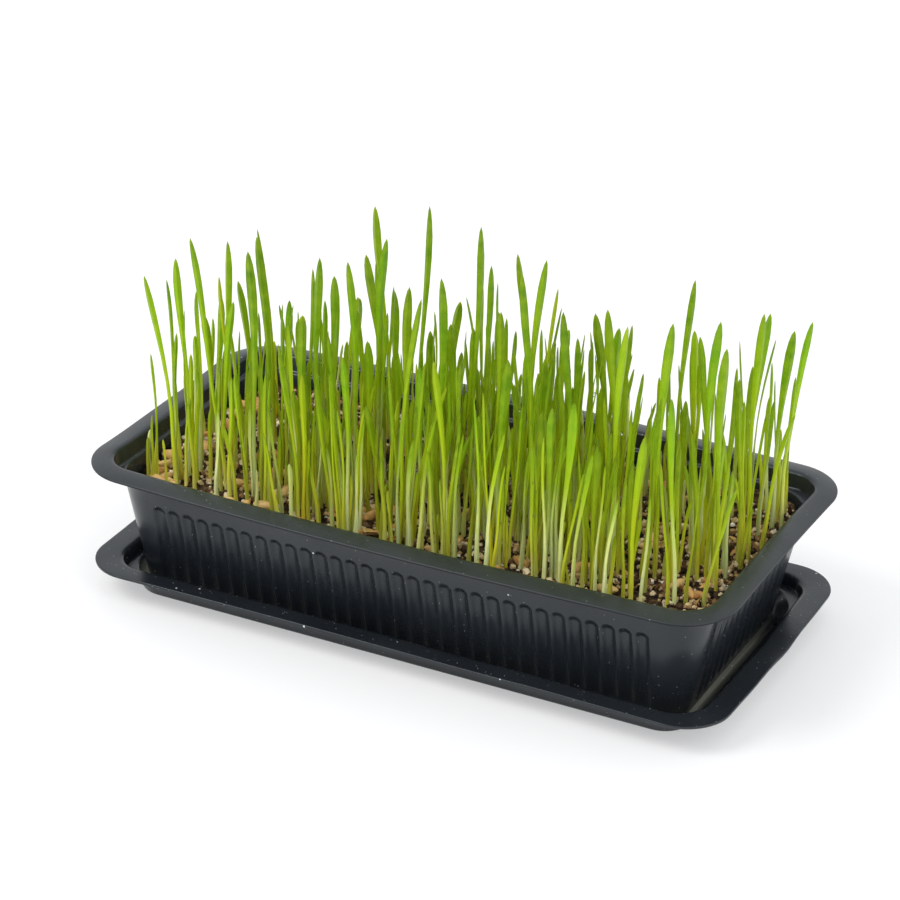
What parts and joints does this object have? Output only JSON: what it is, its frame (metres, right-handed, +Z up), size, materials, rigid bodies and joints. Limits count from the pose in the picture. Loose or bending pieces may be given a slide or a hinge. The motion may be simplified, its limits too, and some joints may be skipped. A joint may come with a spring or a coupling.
{
  "type": "wheatgrass tray",
  "caption": "Young wheatgrass grown in potting mix, in a ribbed black plastic planter that stands in its own shallow drip saucer.",
  "frame": {"origin": "middle of the drip saucer's underside, on the surface that it stands on", "axes": "+X along the long side, -Y towards the front long side, +Z up"},
  "size_m": [0.1998, 0.1064, 0.12],
  "materials": {
    "planter_plastic": "black thermoformed sheet, satin with soft highlights",
    "saucer_plastic": "black thermoformed sheet, satin, a little dusty",
    "potting_mix": "damp crumbly mix with golden granules",
    "grass": "satin young leaf, pale at the foot and yellow-green at the top"
  },
  "bodies": {
    "root": {"planter_tray": "planter_plastic", "drip_saucer": "saucer_plastic", "potting_mix": "potting_mix", "grass_bunch_01": "grass", "grass_bunch_02": "grass", "grass_bunch_03": "grass", "grass_bunch_04": "grass", "grass_bunch_05": "grass", "grass_bunch_06": "grass", "grass_bunch_07": "grass", "grass_bunch_08": "grass", "grass_bunch_09": "grass", "grass_bunch_10": "grass", "grass_bunch_11": "grass", "grass_bunch_12": "grass", "grass_bunch_13": "grass", "grass_bunch_14": "grass", "grass_bunch_15": "grass", "grass_bunch_16": "grass", "grass_bunch_17": "grass", "grass_bunch_18": "grass", "grass_bunch_19": "grass", "grass_bunch_20": "grass", "grass_bunch_21": "grass", "grass_bunch_22": "grass", "grass_bunch_23": "grass", "grass_bunch_24": "grass", "grass_bunch_25": "grass", "grass_bunch_26": "grass", "grass_bunch_27": "grass", "grass_bunch_28": "grass", "grass_bunch_29": "grass", "grass_bunch_30": "grass", "grass_bunch_31": "grass", "grass_bunch_32": "grass", "grass_bunch_33": "grass", "grass_bunch_34": "grass", "grass_bunch_35": "grass", "grass_bunch_36": "grass", "grass_bunch_37": "grass", "grass_bunch_38": "grass", "grass_bunch_39": "grass", "grass_bunch_40": "grass", "grass_bunch_41": "grass", "grass_bunch_42": "grass", "grass_bunch_43": "grass", "grass_bunch_44": "grass", "grass_bunch_45": "grass", "grass_bunch_46": "grass", "grass_bunch_47": "grass", "grass_bunch_48": "grass", "grass_bunch_49": "grass", "grass_bunch_50": "grass", "grass_bunch_51": "grass", "grass_bunch_52": "grass", "grass_bunch_53": "grass", "grass_bunch_54": "grass", "grass_bunch_55": "grass"}
  },
  "joints": []
}
